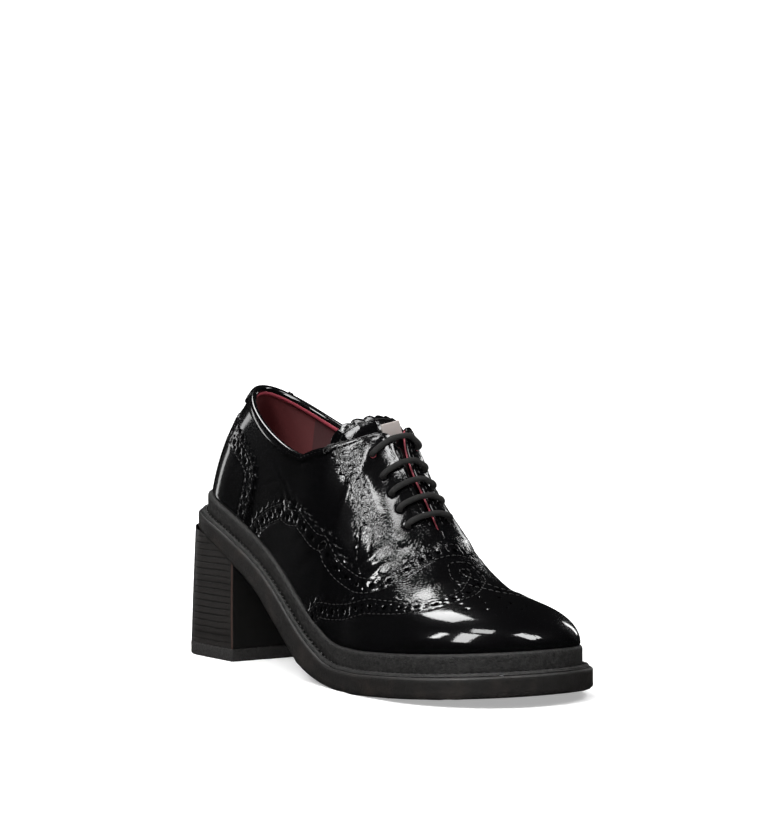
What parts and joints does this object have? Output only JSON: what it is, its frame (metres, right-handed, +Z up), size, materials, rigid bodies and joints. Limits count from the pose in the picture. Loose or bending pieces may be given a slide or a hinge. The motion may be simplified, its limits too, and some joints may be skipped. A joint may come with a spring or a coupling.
{
  "type": "lace-up block-heel shoe",
  "caption": "Low-cut lace-up shoe with wing-shaped toe cap, perforated overlays, thick welted sole and a block heel, standing empty.",
  "frame": {"origin": "middle of the box around the shoe, on the floor it stands on", "axes": "+X from the heel to the toe, +Y to the wearer's inner side (medial), +Z up"},
  "size_m": [0.2536, 0.093, 0.1278],
  "materials": {
    "patent_leather": "glossy black, finely creased",
    "sole_rubber": "satin, worn",
    "edge_rubber": "matte dark grey",
    "stacked_heel": "satin grey-black with fine level layers",
    "lining": "matte burgundy",
    "cotton_lace": "matte dark grey braid",
    "metal_plate": "dull metal, bare"
  },
  "bodies": {
    "root": {"outsole": "sole_rubber", "welt": "edge_rubber", "rand": "edge_rubber", "heel_block": "stacked_heel", "heel_lift": "sole_rubber", "insole": "lining", "upper": "patent_leather", "toe_cap": "patent_leather", "vamp_overlay": "patent_leather", "eyestay_lateral": "patent_leather", "eyestay_medial": "patent_leather", "heel_counter": "patent_leather", "heel_tab": "patent_leather", "tongue": "patent_leather", "tongue_plate": "metal_plate", "lace_bar_1": "cotton_lace", "lace_bar_2": "cotton_lace", "lace_bar_3": "cotton_lace", "lace_bar_4": "cotton_lace", "lace_bar_5": "cotton_lace"}
  },
  "joints": []
}
